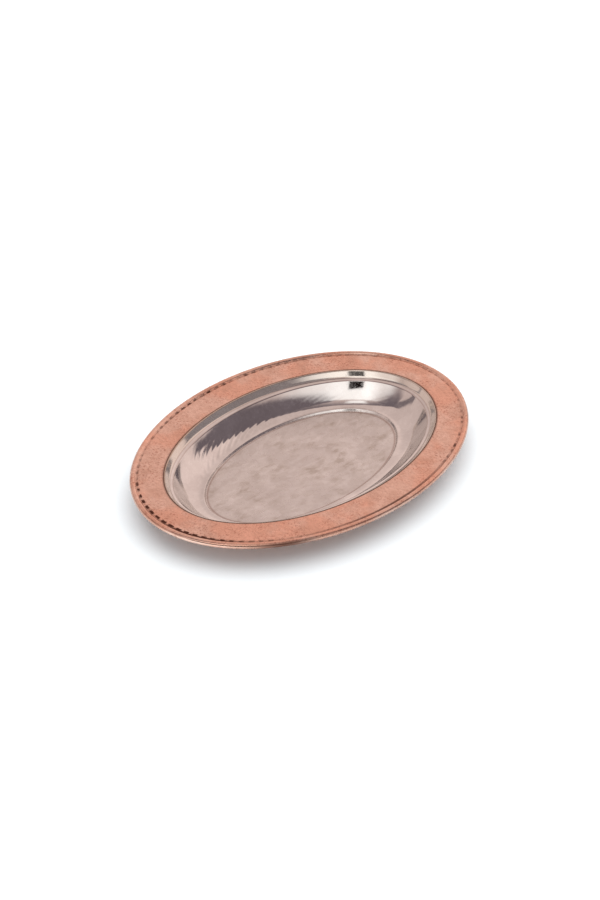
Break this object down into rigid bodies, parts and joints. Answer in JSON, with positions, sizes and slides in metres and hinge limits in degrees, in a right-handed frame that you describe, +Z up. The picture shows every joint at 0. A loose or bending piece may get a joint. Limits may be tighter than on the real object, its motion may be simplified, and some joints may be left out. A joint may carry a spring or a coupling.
{
  "type": "oval serving tray",
  "caption": "Oval hammered copper serving tray with a tinned well, a broad flat flange and a wired rim.",
  "frame": {"origin": "middle of the underside, on the surface that the tray stands on", "axes": "+X along the tray's length, +Y across it, +Z up out of the well"},
  "size_m": [0.35, 0.25, 0.03],
  "materials": {
    "copper": "hand-hammered copper, softly polished",
    "wire": "plain drawn wire",
    "tin": "wiped tin, satin to bright"
  },
  "bodies": {
    "root": {"copper_sheet": "copper", "rim_wire": "wire", "tin_lining": "tin"}
  },
  "joints": []
}
